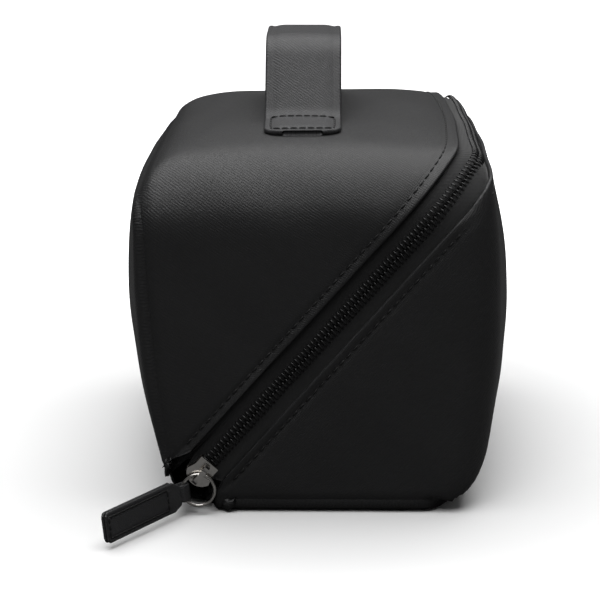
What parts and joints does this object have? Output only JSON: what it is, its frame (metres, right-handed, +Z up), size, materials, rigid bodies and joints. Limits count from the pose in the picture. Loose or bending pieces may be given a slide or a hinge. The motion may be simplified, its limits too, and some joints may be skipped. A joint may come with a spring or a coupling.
{
  "type": "cosmetic case",
  "caption": "Boxy soft leatherette cosmetic case split by a slanting zip into a hinged lid and a base, with a carrying strap on top and a ring-pull zip slider",
  "frame": {"origin": "on the table, under the middle of the case's length and the middle of its flat bottom's width", "axes": "+Z up, Y along the case with the zip slider's end at -Y, +X towards the side where the zip reaches the top"},
  "size_m": [0.1678, 0.2745, 0.194],
  "materials": {
    "case_leather": "black crosshatch-embossed leatherette, satin",
    "strap_leather": "black crosshatch-embossed leatherette, satin, topstitched",
    "foam": "soft padding foam",
    "lining": "plain woven black lining",
    "board": "plain stiffening sheet",
    "zip_tape": "woven black zip tape",
    "zip_coil": "black nylon coil",
    "zip_metal": "nickel plated, polished"
  },
  "bodies": {
    "base": {"base_wrap_panel": "case_leather", "base_bottom_panel": "case_leather", "hinge_strip": "case_leather", "base_foam": "foam", "base_lining": "lining", "floor_board": "board", "zip_tape_base": "zip_tape", "zip_coil_base": "zip_coil", "zip_coil_parked": "zip_coil", "zip_end_stops": "zip_metal"},
    "lid": {"lid_wrap_panel": "case_leather", "lid_left_panel": "case_leather", "lid_foam": "foam", "lid_lining": "lining", "top_board": "board", "zip_tape_lid": "zip_tape", "zip_coil_lid": "zip_coil", "handle_strap": "strap_leather", "handle_core": "foam", "handle_backing": "board"},
    "slider": {"slider_body": "zip_metal", "slider_back_plate": "zip_metal", "slider_bail": "zip_metal"},
    "ring": {"pull_ring": "zip_metal"},
    "puller": {"puller_strap": "strap_leather", "puller_core": "board"}
  },
  "joints": [
    {"name": "lid_hinge", "type": "hinge", "parent": "base", "child": "lid", "pos_m": [-0.06141, 0, 0.0046], "axis": [0, -1, 0], "range_deg": [0, 75]},
    {"name": "zip_slide", "type": "slide", "parent": "base", "child": "slider", "axis": [0.6626, 0, 0.749], "range_m": [0, 0.128]},
    {"name": "ring_swing", "type": "hinge", "parent": "slider", "child": "ring", "pos_m": [-0.0492, -0.11563, 0.0184], "axis": [-0.9903, 0, 0.1392], "range_deg": [0, 85]},
    {"name": "puller_swing", "type": "hinge", "parent": "ring", "child": "puller", "pos_m": [-0.0571, -0.11563, 0.01043], "axis": [-0.1478, 0, 0.989], "range_deg": [-57, 60]}
  ]
}
